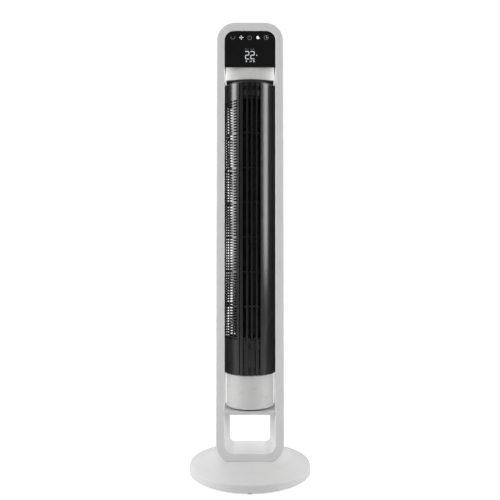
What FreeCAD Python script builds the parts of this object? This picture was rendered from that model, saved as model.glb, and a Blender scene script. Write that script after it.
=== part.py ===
import FreeCAD, Part

import math
import os

# Tower fan: a round base carries an upright ring frame, and a round fan column
# swings inside the ring between a bridge above the carry window and the head.
# Millimetres, +Z up, front is -Y, origin on the floor under the column axis.

# ---- driving dimensions -------------------------------------------------------

HEIGHT = 1092.0

BASE_R = 150.0
FOOT_R, FOOT_H, FOOT_EASE, FOOT_CIRCLE, FEET = 6.0, 3.0, 0.8, 138.0, 8
COVER_BOTTOM = 4.0
SHOULDER_R, SHOULDER_Z = 144.8, 23.4
CREASE_R, CREASE_Z = 112.0, 36.0
DOME_R, DOME_Z = 88.0, 42.0
COVER_WALL = 3.0
EDGE_IN, EDGE_DROP = 1.4, 5.0
SHOULDER_IN, SHOULDER_DROP = 2.6, 1.7
SKIRT_CROWN, DOME_CROWN = 0.7, 0.76
PLATE_Z0, PLATE_Z1, PLATE_R = 3.0, 6.0, 146.4

FRAME_W = 164.4
FRAME_LEAN = 0.0022
FRAME_BAR = 21.2
FRAME_BOTTOM = 38.0
FRAME_FRONT = -58.0
FRAME_REAR = 42.0
REAR_BOW_R = 100.0
FRAME_SPLIT = -20.0
FRAME_CORNER, OPENING_CORNER = 44.0, 23.0
FRAME_WALL = 3.0
FRAME_FRONT_FILLET, FRAME_REAR_FILLET, OPENING_CHAMFER = 3.0, 8.0, 1.2
FOOT_GAP = 0.3
BAY_HALF, BAY_FRONT, BAY_Z0, BAY_Z1 = 64.4, -48.0, 243.0, 953.0
SILL_Z, BRIDGE_Z0, BRIDGE_Z1 = 61.2, 153.2, 161.8
WINDOW_REAR_HALF = 48.0
WINDOW_CORNER, WINDOW_TOP_CORNER = 15.0, 3.0

PANEL_Z0, HOUSING_Z0 = 985.0, 990.2
HEAD_WALL = 2.5
BAND_Z0, BAND_Z1 = 957.0, HOUSING_Z0
BAND_HALF, BAND_FRONT, BAND_BOW_R, BAND_WALL = 58.0, -54.2, 150.0, 2.5
SKIRT_Z0, SKIRT_RIM = 953.6, 6.0
PANEL_RECESS, PANEL_T = 0.6, 3.0

COLUMN_R = 63.2
COLUMN_WALL = 2.0
SHELL_R, SHELL_WALL, SHELL_EASE = 59.0, 2.5, 0.8
SHELL_Z0 = 165.4
BLACK_Z0 = 247.2
CAP_Z0, CAP_Z1, CAP_SPIGOT = 947.6, 951.4, 8.0
SEAM = 0.2

OUTLET_LEFT, OUTLET_RIGHT = -25.5, 24.4
RIB_Z0, RIB_PITCH, RIBS = 329.2, 83.0, 8
SIDE_PANEL_END = 116.0
LATTICE_START, LATTICE_COLUMNS, LATTICE_STEP, LATTICE_BAR = -28.0, 6, 12.0, 2.6
LATTICE_ROWS, ROW_PITCH, ROW_OPEN = 12, 6.66, 3.9

IMPELLER_R, IMPELLER_BORE, DISC_T, HUB_R, HUB_H = 40.0, 29.0, 2.0, 8.0, 13.0
BLADE_IN, BLADE_MIDDLE, BLADE_HALF, BLADE_DIP, BLADE_SWEEP = 30.0, 35.0, 0.55, -1.2, 5.0
IMPELLER_Z0, SEGMENT, SEGMENTS, BLADES = 342.0, 71.2, 8, 36

GEAR_MODULE, SUN_TEETH, PINION_TEETH = 1.2, 36, 12
GEAR_Z0, GEAR_Z1 = 172.0, 178.0
GEAR_BACKLASH = 0.25

CLEAR = 0.1
RUNNING = 0.05
LAP = 0.5
FAR = 1200.0

FRAME_HALF = FRAME_W / 2
OPENING_HALF = FRAME_HALF - FRAME_BAR
OPENING_TOP = HEIGHT - 20.0
RIB_TOP = RIB_Z0 + RIB_PITCH * (RIBS - 1)
COLUMN_IN = COLUMN_R - COLUMN_WALL
DECK_R = COLUMN_IN - SEAM
SHELL_IN = SHELL_R - SHELL_WALL
SHELL_DECK_R = SHELL_IN - SEAM
IMPELLER_Z1 = IMPELLER_Z0 + SEGMENT * SEGMENTS
PINION_Y = GEAR_MODULE * (SUN_TEETH + PINION_TEETH) / 2

X_AXIS = FreeCAD.Vector(1, 0, 0)
Y_AXIS = FreeCAD.Vector(0, 1, 0)
Z_AXIS = FreeCAD.Vector(0, 0, 1)


# ---- shared shapes ------------------------------------------------------------

def vec(x, y, z):
    return FreeCAD.Vector(x, y, z)


def around(radius, angle, z):
    """Point at an angle from the front, positive towards +X."""
    turn = math.radians(angle)
    return vec(radius * math.sin(turn), -radius * math.cos(turn), z)


def line(a, b):
    return Part.LineSegment(a, b).toShape()


def arc(a, b, c):
    return Part.Arc(a, b, c).toShape()


def prism(edges, sweep):
    """Closed outline pushed along a vector."""
    return Part.Face(Part.Wire(Part.__sortEdges__(edges))).extrude(sweep)


def cyl(radius, z0, z1, x=0.0, y=0.0):
    return Part.makeCylinder(radius, z1 - z0, vec(x, y, z0))


def tube(outer, inner, z0, z1, x=0.0, y=0.0):
    return cyl(outer, z0, z1, x, y).cut(cyl(inner, z0 - 1, z1 + 1, x, y))


def block(x0, x1, y0, y1, z0, z1):
    return Part.makeBox(x1 - x0, y1 - y0, z1 - z0, vec(x0, y0, z0))


def rod(start, direction, radius, length):
    return Part.makeCylinder(radius, length, start, direction)


def sector(inner, outer, a0, a1, z0, z1):
    """Piece of a round wall between two angles."""
    middle = (a0 + a1) / 2
    edges = [
        arc(around(outer, a0, z0), around(outer, middle, z0), around(outer, a1, z0)),
        line(around(outer, a1, z0), around(inner, a1, z0)),
        arc(around(inner, a1, z0), around(inner, middle, z0), around(inner, a0, z0)),
        line(around(inner, a0, z0), around(outer, a0, z0)),
    ]
    return prism(edges, vec(0, 0, z1 - z0))


def fused(solids):
    shape = solids[0].multiFuse(solids[1:]) if len(solids) > 1 else solids[0]
    return shape.removeSplitter()


def spaced(count, first=0.0):
    return [first + 360.0 * i / count for i in range(count)]


def arch_edges(half, z0, z1, low, high, y, lean=0.0):
    """Upright rounded rectangle in an XZ plane, whose sides may lean inwards by a slope."""
    slant = math.hypot(1, lean)
    edges, ends = [], {}
    for side in (-1, 1):
        for radius, end, level in ((low, -1, z0), (high, 1, z1)):
            centre_z = level - end * radius
            centre_x = half - radius * slant - lean * (centre_z - z0)
            touch = vec(side * (centre_x + radius / slant), y, centre_z + radius * lean / slant)
            flat = vec(side * centre_x, y, level)
            if radius > 0:
                outward = vec(side / slant, 0, lean / slant + end).normalize()
                edges.append(arc(touch, vec(side * centre_x, y, centre_z) + outward * radius, flat))
            ends[side, end] = (touch, flat)
        edges.append(line(ends[side, -1][0], ends[side, 1][0]))
    for end in (-1, 1):
        edges.append(line(ends[-1, end][1], ends[1, end][1]))
    return edges


def arch(half, z0, z1, low, high, y0, y1, lean=0.0):
    return prism(arch_edges(half, z0, z1, low, high, y0, lean), vec(0, y1 - y0, 0))


def bow_y(x, inset=0.0):
    """Rear surface of the frame and the head at a distance from the middle plane."""
    radius = REAR_BOW_R - inset
    return FRAME_REAR - REAR_BOW_R + math.sqrt(radius * radius - x * x)


def plan(half, y0, z0, z1, inset=0.0):
    """Block that is flat at the front and bowed at the rear."""
    rear = bow_y(half, inset)
    edges = [
        line(vec(-half, rear, z0), vec(-half, y0, z0)),
        line(vec(-half, y0, z0), vec(half, y0, z0)),
        line(vec(half, y0, z0), vec(half, rear, z0)),
        arc(vec(half, rear, z0), vec(0, FRAME_REAR - inset, z0), vec(-half, rear, z0)),
    ]
    return prism(edges, vec(0, 0, z1 - z0))


def screw(point, direction, head_r, head_h, shank_r, length):
    """Pan-head screw; the point is under the head, and the direction is along the shank."""
    head = rod(point - direction * head_h, direction, head_r, head_h)
    return head.fuse(rod(point, direction, shank_r, length)).removeSplitter()


def hole(point, direction, head_r, shank_r, length, depth=30.0):
    """Clearance for a screw: a counterbore behind the point, and a pilot ahead of it."""
    behind = rod(point - direction * depth, direction, head_r + CLEAR, depth)
    return behind.fuse(rod(point, direction, shank_r + CLEAR, length + LAP))


# ---- fastener places ----------------------------------------------------------

BASE_SCREW_CIRCLE, BASE_SCREW_R, BASE_SCREW_HEAD = 128.0, 1.8, 3.6
BASE_SCREW_Z, BASE_SCREW_LENGTH, BASE_BOSS_R = 4.8, 15.0, 5.5
BOLT_PLACES = [(x, y) for x in (-34.0, 34.0) for y in (-34.0, 14.0)]
BOLT_R, BOLT_HEAD, BOLT_HEAD_H, BOLT_Z, BOLT_LENGTH = 3.0, 5.0, 4.0, 12.0, 38.0
BOLT_POST_R, BOLT_BOSS_R = 9.0, 6.5
FOOT_PLATE_Z0 = FRAME_BOTTOM - 4.0
FOOT_PLATE_HALF, FOOT_PLATE_Y0, FOOT_PLATE_Y1, FOOT_PLATE_CORNER = 52.0, -48.0, 28.0, 10.0

FRAME_SCREW_X, FRAME_SCREW_Y, FRAME_SCREW_LENGTH = 74.6, -4.0, 40.0
FRAME_SCREW_R, FRAME_SCREW_HEAD, FRAME_SCREW_HEAD_H, FRAME_BOSS_R = 1.5, 2.8, 2.0, 3.6
FRAME_SCREW_LEVELS = (120.0, 380.0, 640.0, 900.0)

SIDE_SCREW_R, SIDE_SCREW_HEAD, SIDE_SCREW_HEAD_H = 1.5, 3.0, 2.0
BRIDGE_SCREWS = [(side, y, 157.0) for side in (-1, 1) for y in (-45.0, 5.0)]
HEAD_SCREWS = [(side, -30.0, z) for side in (-1, 1) for z in (1010.0, 1042.0)]
SIDE_SCREW_LENGTH = 10.0

DECK_SCREW_ANGLES = (-92.0, -136.0, -208.0)
UPPER_DECK_Z, LOWER_DECK_Z, MID_DECK_Z = 917.0, 320.0, 250.4
DECK_T, RIM_H, RIM_T = 3.0, 13.0, 5.0
DECK_SCREW_LEVELS = (UPPER_DECK_Z + 8.0, LOWER_DECK_Z - 4.0, MID_DECK_Z + 8.0)
SHELL_SCREW_LEVELS = (171.0, 243.0)
SHELL_SCREW_ANGLES = (-140.0, 140.0)
RADIAL_SCREW_R, RADIAL_SCREW_HEAD, RADIAL_SEAT, RADIAL_LENGTH = 1.5, 2.8, 0.9, 5.5
SMALL_SCREW_R, SMALL_HEAD_R, SMALL_HEAD_H, SMALL_HOLE_R = 1.2, 2.4, 1.6, 1.3


def side_screw(side, y, z):
    return screw(vec(side * (OPENING_HALF + FRAME_WALL), y, z), X_AXIS * -side,
                 SIDE_SCREW_HEAD, SIDE_SCREW_HEAD_H, SIDE_SCREW_R, SIDE_SCREW_LENGTH)


def side_hole(side, y, z):
    return rod(vec(side * (OPENING_HALF + FRAME_WALL + 1), y, z), X_AXIS * -side,
               SIDE_SCREW_R + CLEAR, SIDE_SCREW_LENGTH + 2)


def radial_screw(radius, angle, z):
    """Screw from outside a round wall, with its head sunk flush in a shallow seat."""
    inward = around(-1.0, angle, 0)
    return screw(around(radius - RADIAL_SEAT, angle, z), inward, RADIAL_SCREW_HEAD,
                 RADIAL_SEAT - CLEAR, RADIAL_SCREW_R, RADIAL_LENGTH)


def radial_hole(radius, angle, z):
    inward = around(-1.0, angle, 0)
    return hole(around(radius - RADIAL_SEAT, angle, z), inward, RADIAL_SCREW_HEAD,
                RADIAL_SCREW_R, RADIAL_LENGTH, 3.0)


# ---- base ---------------------------------------------------------------------

def base_profile(inset):
    """Half section of the base cover, moved inwards by the inset."""
    rim = BASE_R - inset
    bottom, top = vec(rim, 0, COVER_BOTTOM), vec(rim - EDGE_IN, 0, SHOULDER_Z - EDGE_DROP - inset / 2)
    shoulder = vec(SHOULDER_R - inset, 0, SHOULDER_Z - inset)
    crease = vec(CREASE_R - inset / 3, 0, CREASE_Z - inset)
    dome = vec(DOME_R, 0, DOME_Z - inset)
    rise = DOME_CROWN * (dome.z - crease.z)
    return [
        line(vec(0, 0, COVER_BOTTOM), bottom),
        line(bottom, top),
        arc(top, vec(rim - SHOULDER_IN, 0, shoulder.z - SHOULDER_DROP), shoulder),
        arc(shoulder, (shoulder + crease) * 0.5 + Z_AXIS * SKIRT_CROWN, crease),
        arc(crease, vec((crease.x + dome.x) / 2, 0, crease.z + rise), dome),
        line(dome, vec(0, 0, dome.z)),
        line(vec(0, 0, dome.z), vec(0, 0, COVER_BOTTOM)),
    ]


def base_solid(inset):
    face = Part.Face(Part.Wire(Part.__sortEdges__(base_profile(inset))))
    return face.revolve(vec(0, 0, 0), Z_AXIS, 360)


def bow_edges(shape):
    """The shape's edges that lie all along on the bowed rear surface."""
    found = []
    for edge in shape.Edges:
        first, last = edge.FirstParameter, edge.LastParameter
        points = [edge.valueAt(first + (last - first) * k / 6) for k in range(7)]
        if all(abs(p.y - bow_y(p.x)) < 0.02 for p in points):
            found.append(edge)
    return found


def frame_outside():
    """The ring frame's outer form, as a filled block with rounded front and rear edges."""
    shape = arch(FRAME_HALF, FRAME_BOTTOM, HEIGHT, FRAME_CORNER, FRAME_CORNER,
                 FRAME_FRONT, FRAME_REAR + 5, FRAME_LEAN)
    front_loop = [e for e in shape.Edges if e.BoundBox.YMax < FRAME_FRONT + 0.01]
    shape = shape.makeFillet(FRAME_FRONT_FILLET, front_loop)
    shape = shape.common(plan(FRAME_HALF + 5, FRAME_FRONT - 5, 0, HEIGHT + 5))
    return shape.makeFillet(FRAME_REAR_FILLET, bow_edges(shape))


def foot_pocket():
    """Room for the frame's foot in the base cover, with a fine gap all round."""
    outline = arch(FRAME_HALF + FOOT_GAP, FRAME_BOTTOM - FOOT_GAP, HEIGHT, FRAME_CORNER, FRAME_CORNER,
                   FRAME_FRONT - FOOT_GAP, FRAME_REAR + 5, FRAME_LEAN)
    return outline.common(plan(FRAME_HALF + 5, FRAME_FRONT - 5, 0, HEIGHT, -FOOT_GAP))


def base_cover():
    outside = base_solid(0)
    bosses = [cyl(BASE_BOSS_R, PLATE_Z1, DOME_Z, *around(BASE_SCREW_CIRCLE, a, 0)[:2])
              for a in spaced(FEET, 22.5)]
    shape = fused([outside.cut(base_solid(COVER_WALL))] + [boss.common(outside) for boss in bosses])
    shape = shape.cut(foot_pocket())
    depth = BASE_SCREW_Z + BASE_SCREW_LENGTH + LAP
    pilots = [cyl(BASE_SCREW_R + CLEAR, 0, depth, *around(BASE_SCREW_CIRCLE, a, 0)[:2])
              for a in spaced(FEET, 22.5)]
    return shape.cut(Part.Compound(pilots + [gland_hole()]))


def base_plate():
    shape = cyl(PLATE_R, PLATE_Z0, PLATE_Z1)
    posts = [cyl(BOLT_POST_R, PLATE_Z0, FOOT_PLATE_Z0, x, y) for x, y in BOLT_PLACES]
    shape = fused([shape] + posts)
    cuts = [hole(vec(x, y, BOLT_Z), Z_AXIS, BOLT_HEAD, BOLT_R, BOLT_LENGTH) for x, y in BOLT_PLACES]
    for angle in spaced(FEET, 22.5):
        x, y, _ = around(BASE_SCREW_CIRCLE, angle, 0)
        cuts.append(hole(vec(x, y, BASE_SCREW_Z), Z_AXIS, BASE_SCREW_HEAD, BASE_SCREW_R, BASE_SCREW_LENGTH))
    return shape.cut(Part.Compound(cuts))


def rubber_feet():
    feet = []
    for angle in spaced(FEET):
        x, y, _ = around(FOOT_CIRCLE, angle, 0)
        foot = cyl(FOOT_R, 0, FOOT_H, x, y)
        feet.append(foot.makeFillet(FOOT_EASE, [foot.Edges[2]]))
    return Part.Compound(feet)


def base_screws():
    return Part.Compound([screw(around(BASE_SCREW_CIRCLE, a, BASE_SCREW_Z), Z_AXIS,
                                BASE_SCREW_HEAD, 1.6, BASE_SCREW_R, BASE_SCREW_LENGTH)
                          for a in spaced(FEET, 22.5)])


def foot_plate():
    shape = block(-FOOT_PLATE_HALF, FOOT_PLATE_HALF, FOOT_PLATE_Y0, FOOT_PLATE_Y1,
                  FOOT_PLATE_Z0, FRAME_BOTTOM)
    corners = [e for e in shape.Edges if abs(e.Length - (FRAME_BOTTOM - FOOT_PLATE_Z0)) < 1e-6]
    shape = shape.makeFillet(FOOT_PLATE_CORNER, corners)
    return shape.cut(Part.Compound([cyl(BOLT_R + CLEAR, 0, SILL_Z, x, y) for x, y in BOLT_PLACES]))


def frame_bolts():
    return Part.Compound([screw(vec(x, y, BOLT_Z), Z_AXIS, BOLT_HEAD, BOLT_HEAD_H, BOLT_R, BOLT_LENGTH)
                          for x, y in BOLT_PLACES])


GLAND_Z, GLAND_BORE, GLAND_R, GLAND_COLLAR_R = 13.5, 3.6, 6.5, 7.2
GLAND_IN, GLAND_OUT, GLAND_COLLAR_T = 138.0, 149.6, 3.0


def gland_hole():
    return rod(vec(0, BASE_R - 20, GLAND_Z), Y_AXIS, GLAND_R, 30)


def cord_gland():
    body = rod(vec(0, GLAND_IN, GLAND_Z), Y_AXIS, GLAND_R, GLAND_OUT - GLAND_IN)
    collar = rod(vec(0, GLAND_IN, GLAND_Z), Y_AXIS, GLAND_COLLAR_R, GLAND_COLLAR_T)
    bore = rod(vec(0, GLAND_IN - 1, GLAND_Z), Y_AXIS, GLAND_BORE, 20)
    return fused([body, collar]).cut(bore)


# ---- ring frame ---------------------------------------------------------------

def tunnel(grow):
    """The carry window: full width at the front, narrower at the rear."""
    front = arch_edges(OPENING_HALF + grow, SILL_Z - grow, BRIDGE_Z0 + grow,
                       OPENING_CORNER + grow, WINDOW_TOP_CORNER, FRAME_FRONT - 5)
    rear = arch_edges(WINDOW_REAR_HALF + grow, SILL_Z - grow, BRIDGE_Z0 + grow,
                      WINDOW_CORNER + grow, WINDOW_TOP_CORNER, FRAME_REAR + 5)
    wires = [Part.Wire(Part.__sortEdges__(edges)) for edges in (front, rear)]
    return Part.makeLoft(wires, True, True)


def column_opening(grow):
    return arch(OPENING_HALF + grow, BRIDGE_Z0 - grow, OPENING_TOP + grow,
                0, OPENING_CORNER + grow, FRAME_FRONT - 10, FRAME_REAR + 10)


def column_bay(grow):
    """Widening of the opening behind its front lip, over the height of the black column."""
    return block(-BAY_HALF - grow, BAY_HALF + grow, BAY_FRONT - grow, FRAME_REAR + 10,
                 BAY_Z0 - grow, BAY_Z1 + grow)


def opening_flare():
    """Cutter for the small chamfer round the front edge of the ring's opening."""
    wires = []
    for grow, y in ((OPENING_CHAMFER + LAP, FRAME_FRONT - LAP), (0, FRAME_FRONT + OPENING_CHAMFER)):
        edges = arch_edges(OPENING_HALF + grow, SILL_Z - grow, OPENING_TOP + grow,
                           OPENING_CORNER + grow, OPENING_CORNER + grow, y)
        wires.append(Part.Wire(Part.__sortEdges__(edges)))
    return Part.makeLoft(wires, True, True)


def frame_body(outside):
    inset = FRAME_WALL
    shape = outside.cut(column_opening(0)).cut(tunnel(0)).cut(opening_flare())
    shape = shape.cut(column_bay(0))
    cavity = arch(FRAME_HALF - inset, FRAME_BOTTOM + inset, HEIGHT - inset, FRAME_CORNER - inset,
                  FRAME_CORNER - inset, FRAME_FRONT + inset, FRAME_REAR, FRAME_LEAN)
    cavity = cavity.common(plan(FRAME_HALF, FRAME_FRONT, 0, HEIGHT, inset))
    return shape.cut(cavity.cut(column_opening(inset)).cut(tunnel(inset)).cut(column_bay(inset)))


def frame_bosses(outside):
    bosses = [rod(vec(side * FRAME_SCREW_X, FRAME_FRONT + 1, z), Y_AXIS, FRAME_BOSS_R, 100)
              for side in (-1, 1) for z in FRAME_SCREW_LEVELS]
    bosses += [cyl(BOLT_BOSS_R, FRAME_BOTTOM, SILL_Z - 1, x, y) for x, y in BOLT_PLACES]
    return [boss.common(outside) for boss in bosses]


def frame_cuts():
    cuts = [hole(vec(side * FRAME_SCREW_X, FRAME_SCREW_Y, z), Y_AXIS * -1, FRAME_SCREW_HEAD,
                 FRAME_SCREW_R, FRAME_SCREW_LENGTH) for side in (-1, 1) for z in FRAME_SCREW_LEVELS]
    cuts += [cyl(BOLT_R + CLEAR, 0, BOLT_Z + BOLT_LENGTH + LAP, x, y) for x, y in BOLT_PLACES]
    cuts += [side_hole(*place) for place in BRIDGE_SCREWS + HEAD_SCREWS]
    return Part.Compound(cuts)


def frame_halves():
    outside = frame_outside()
    whole = fused([frame_body(outside)] + frame_bosses(outside)).cut(frame_cuts())
    front = whole.common(block(-200, 200, -200, FRAME_SPLIT, 0, HEIGHT + 10))
    rear = whole.common(block(-200, 200, FRAME_SPLIT, 200, 0, HEIGHT + 10))
    return front, rear


def frame_screws():
    return Part.Compound([screw(vec(side * FRAME_SCREW_X, FRAME_SCREW_Y, z), Y_AXIS * -1,
                                FRAME_SCREW_HEAD, FRAME_SCREW_HEAD_H, FRAME_SCREW_R, FRAME_SCREW_LENGTH)
                          for side in (-1, 1) for z in FRAME_SCREW_LEVELS])


# ---- bridge and swivel --------------------------------------------------------

POST_R, POST_BORE, POST_TOP = 12.0, 8.5, 190.0
BRIDGE_WALL, BRIDGE_COVER_T, BRIDGE_BOSS_R = 2.5, 1.2, 2.4
FLANGE_R, FLANGE_T = 24.0, 2.5
POST_SCREW_CIRCLE = 18.0
SLIDE_IN, SLIDE_OUT = 34.0, 40.0
PINION_SHAFT_R = 2.0
BRIDGE_FRONT = FRAME_FRONT + 0.4
BRIDGE_HALF = OPENING_HALF - SEAM


def swivel_bridge():
    shape = plan(BRIDGE_HALF, BRIDGE_FRONT, BRIDGE_Z0, BRIDGE_Z1, SEAM)
    inside = plan(BRIDGE_HALF - BRIDGE_WALL, BRIDGE_FRONT + BRIDGE_WALL, BRIDGE_Z0 - 1,
                  BRIDGE_Z1 - BRIDGE_WALL, SEAM + BRIDGE_WALL)
    shape = shape.cut(inside)
    bosses = [rod(vec(side * BRIDGE_HALF, y, z), X_AXIS * -side, BRIDGE_BOSS_R, SIDE_SCREW_LENGTH + 1)
              for side, y, z in BRIDGE_SCREWS]
    shape = fused([shape] + bosses)
    cuts = [side_hole(*place) for place in BRIDGE_SCREWS]
    cuts.append(cyl(POST_R + CLEAR, BRIDGE_Z0, BRIDGE_Z1 + 1))
    cuts += [cyl(SMALL_HOLE_R, BRIDGE_Z0, BRIDGE_Z1 - 0.6, *around(POST_SCREW_CIRCLE, a, 0)[:2])
             for a in spaced(4, 45)]
    return shape.cut(Part.Compound(cuts))


def bridge_cover():
    inset = BRIDGE_WALL + SEAM
    return plan(BRIDGE_HALF - inset, BRIDGE_FRONT + inset, BRIDGE_Z0, BRIDGE_Z0 + BRIDGE_COVER_T,
                SEAM + inset)


def swivel_post():
    top = BRIDGE_Z1 - BRIDGE_WALL
    shape = fused([cyl(FLANGE_R, top - FLANGE_T, top), cyl(POST_R, top - FLANGE_T, POST_TOP)])
    cuts = [cyl(POST_BORE, 0, FAR)]
    cuts += [cyl(SMALL_HOLE_R, 0, top + 1, *around(POST_SCREW_CIRCLE, a, 0)[:2]) for a in spaced(4, 45)]
    return shape.cut(Part.Compound(cuts))


def post_screws():
    top = BRIDGE_Z1 - BRIDGE_WALL - FLANGE_T
    return Part.Compound([screw(around(POST_SCREW_CIRCLE, a, top), Z_AXIS, SMALL_HEAD_R,
                                SMALL_HEAD_H, SMALL_SCREW_R, 4.2)
                          for a in spaced(4, 45)])


def involute(base, radius):
    """Angle that an involute flank has turned by when it reaches a radius."""
    if radius <= base:
        return 0.0
    pressure = math.acos(base / radius)
    return math.tan(pressure) - pressure


def gear_outline(teeth, z):
    """Spur gear with arc flanks through three involute points."""
    pitch = GEAR_MODULE * teeth / 2
    base = pitch * math.cos(math.radians(20))
    tip, root = pitch + GEAR_MODULE * 0.95, pitch - GEAR_MODULE * 1.25
    low, middle = max(base, root + 0.05), (max(base, root + 0.05) + tip) / 2
    half_pitch = math.pi / (2 * teeth) - GEAR_BACKLASH / (2 * pitch) + involute(base, pitch)

    def flank(centre, side, radius):
        return around(radius, math.degrees(centre + side * (half_pitch - involute(base, radius))), z)

    edges = []
    for k in range(teeth):
        centre, following = 2 * math.pi * k / teeth, 2 * math.pi * (k + 1) / teeth
        foot = math.degrees(centre + half_pitch)
        next_foot = math.degrees(following - half_pitch)
        edges.append(line(around(root, math.degrees(centre - half_pitch), z), flank(centre, -1, low)))
        edges.append(arc(flank(centre, -1, low), flank(centre, -1, middle), flank(centre, -1, tip)))
        edges.append(arc(flank(centre, -1, tip), around(tip, math.degrees(centre), z), flank(centre, 1, tip)))
        edges.append(arc(flank(centre, 1, tip), flank(centre, 1, middle), flank(centre, 1, low)))
        edges.append(line(flank(centre, 1, low), around(root, foot, z)))
        edges.append(arc(around(root, foot, z), around(root, (foot + next_foot) / 2, z),
                         around(root, next_foot, z)))
    return edges


def sun_gear():
    gear = prism(gear_outline(SUN_TEETH, GEAR_Z0), vec(0, 0, GEAR_Z1 - GEAR_Z0))
    return gear.cut(cyl(POST_R, GEAR_Z0 - 1, GEAR_Z1 + 1))


def slide_ring():
    return tube(SLIDE_OUT, SLIDE_IN, BRIDGE_Z1, SHELL_Z0)


def swivel_pinion():
    """Pinion on the swivel motor's shaft, half a tooth round so that it meshes."""
    gear = prism(gear_outline(PINION_TEETH, GEAR_Z0), vec(0, 0, GEAR_Z1 - GEAR_Z0))
    gear.rotate(vec(0, 0, 0), Z_AXIS, 180.0 / PINION_TEETH)
    shaft = cyl(PINION_SHAFT_R, GEAR_Z0 - 1.5, SWIVEL_MOTOR_Z + 6)
    shape = fused([gear, shaft])
    shape.translate(vec(0, PINION_Y, 0))
    return shape


# ---- column floor and white lower shell ---------------------------------------

FLOOR_Z, FLOOR_T = SHELL_Z0 + SEAM, 3.2
BUSH_R = 15.0
DRIVER_Y, BOARD_T = -34.0, 1.6
SWIVEL_MOTOR_Z, SWIVEL_MOTOR_R, SWIVEL_MOTOR_H = 181.0, 14.0, 19.0
MOTOR_POST_X, MOTOR_POST_R, EAR_HALF = 17.5, 3.2, 3.5


def swivel_deck():
    floor = cyl(SHELL_DECK_R, FLOOR_Z, FLOOR_Z + FLOOR_T)
    rim = tube(SHELL_DECK_R, SHELL_DECK_R - RIM_T, FLOOR_Z, FLOOR_Z + 10)
    posts = [cyl(MOTOR_POST_R, FLOOR_Z, SWIVEL_MOTOR_Z, side * MOTOR_POST_X, PINION_Y) for side in (-1, 1)]
    shape = fused([floor, rim] + posts)
    cuts = [cyl(BUSH_R, FLOOR_Z - 1, FLOOR_Z + 10)]
    cuts += [cyl(SMALL_HOLE_R, FLOOR_Z + 5, FAR, side * MOTOR_POST_X, PINION_Y) for side in (-1, 1)]
    cuts += [radial_hole(SHELL_R, a, SHELL_SCREW_LEVELS[0]) for a in SHELL_SCREW_ANGLES]
    return shape.cut(Part.Compound(cuts))


def swivel_bush():
    shape = fused([cyl(BUSH_R, FLOOR_Z, GEAR_Z0 - 1), cyl(BUSH_R + 3, FLOOR_Z + FLOOR_T, GEAR_Z0 - 1.6)])
    return shape.cut(cyl(POST_R + RUNNING, 0, FAR))


def swivel_motor():
    can = cyl(SWIVEL_MOTOR_R, SWIVEL_MOTOR_Z, SWIVEL_MOTOR_Z + SWIVEL_MOTOR_H)
    can = can.makeFillet(1.5, [can.Edges[0]])
    reach = MOTOR_POST_X + EAR_HALF
    ears = block(-reach, reach, -EAR_HALF, EAR_HALF, SWIVEL_MOTOR_Z, SWIVEL_MOTOR_Z + 1)
    shape = fused([can, ears])
    cuts = [cyl(PINION_SHAFT_R + RUNNING, SWIVEL_MOTOR_Z - 1, SWIVEL_MOTOR_Z + 7)]
    cuts += [cyl(SMALL_HOLE_R, 0, FAR, side * MOTOR_POST_X, 0) for side in (-1, 1)]
    shape = shape.cut(Part.Compound(cuts))
    shape.translate(vec(0, PINION_Y, 0))
    return shape


def swivel_motor_screws():
    return Part.Compound([screw(vec(side * MOTOR_POST_X, PINION_Y, SWIVEL_MOTOR_Z + 1), Z_AXIS * -1,
                                SMALL_HEAD_R, SMALL_HEAD_H, SMALL_SCREW_R, 8) for side in (-1, 1)])


def outer_rims(shape, radius):
    """Circular edges of that radius about the column axis."""
    return [e for e in shape.Edges if isinstance(e.Curve, Part.Circle)
            and abs(e.Curve.Radius - radius) < 1e-6]


def lower_shell(front):
    wall = tube(SHELL_R, SHELL_IN, SHELL_Z0, BLACK_Z0 - SEAM)
    wall = wall.makeChamfer(SHELL_EASE, outer_rims(wall, SHELL_R))
    y0 = -BASE_R if front else 0
    wall = wall.common(block(-BASE_R, BASE_R, y0, y0 + BASE_R, 0, FAR))
    if front:
        return wall
    holes = [radial_hole(SHELL_R, a, z) for a in SHELL_SCREW_ANGLES for z in SHELL_SCREW_LEVELS]
    return wall.cut(Part.Compound(holes))


def shell_screws():
    return Part.Compound([radial_screw(SHELL_R, a, z)
                          for a in SHELL_SCREW_ANGLES for z in SHELL_SCREW_LEVELS])


def driver_board():
    """Motor drive and supply board, with its transformer and two capacitors."""
    face = DRIVER_Y + BOARD_T
    parts = [block(-34, 34, DRIVER_Y, face, 184, 236), block(-28, -4, face, face + 16.4, 190, 214)]
    parts += [rod(vec(x, face, 200), Y_AXIS, 6, 16) for x in (10, 24)]
    return fused(parts)


# ---- column decks -------------------------------------------------------------

def deck(z0, rim_z0, centre_r):
    """Round plate with a rim that the column walls are screwed to."""
    plate = tube(DECK_R, centre_r, z0, z0 + DECK_T)
    rim = tube(DECK_R, DECK_R - RIM_T, rim_z0, rim_z0 + RIM_H)
    shape = fused([plate, rim])
    holes = [radial_hole(COLUMN_R, a, z) for a in DECK_SCREW_ANGLES for z in DECK_SCREW_LEVELS]
    return shape.cut(Part.Compound(holes))


BEARING_R, AXLE_R = 6.0, 3.0
MOUNT_R = 12.0
MOTOR_R, MOTOR_Z0, MOTOR_Z1, SHAFT_R = 32.0, 264.0, 311.0, 4.0
MOTOR_MOUNT_CIRCLE, MOUNT_SCREW_R, GROMMET_R, GROMMET_LIP_R = 40.0, 1.8, 3.0, 5.0
STATOR_IN, ROTOR_R, MOTOR_WALL = 20.5, 20.0, 2.0


def upper_deck():
    return deck(UPPER_DECK_Z, UPPER_DECK_Z, MOUNT_R)


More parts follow.
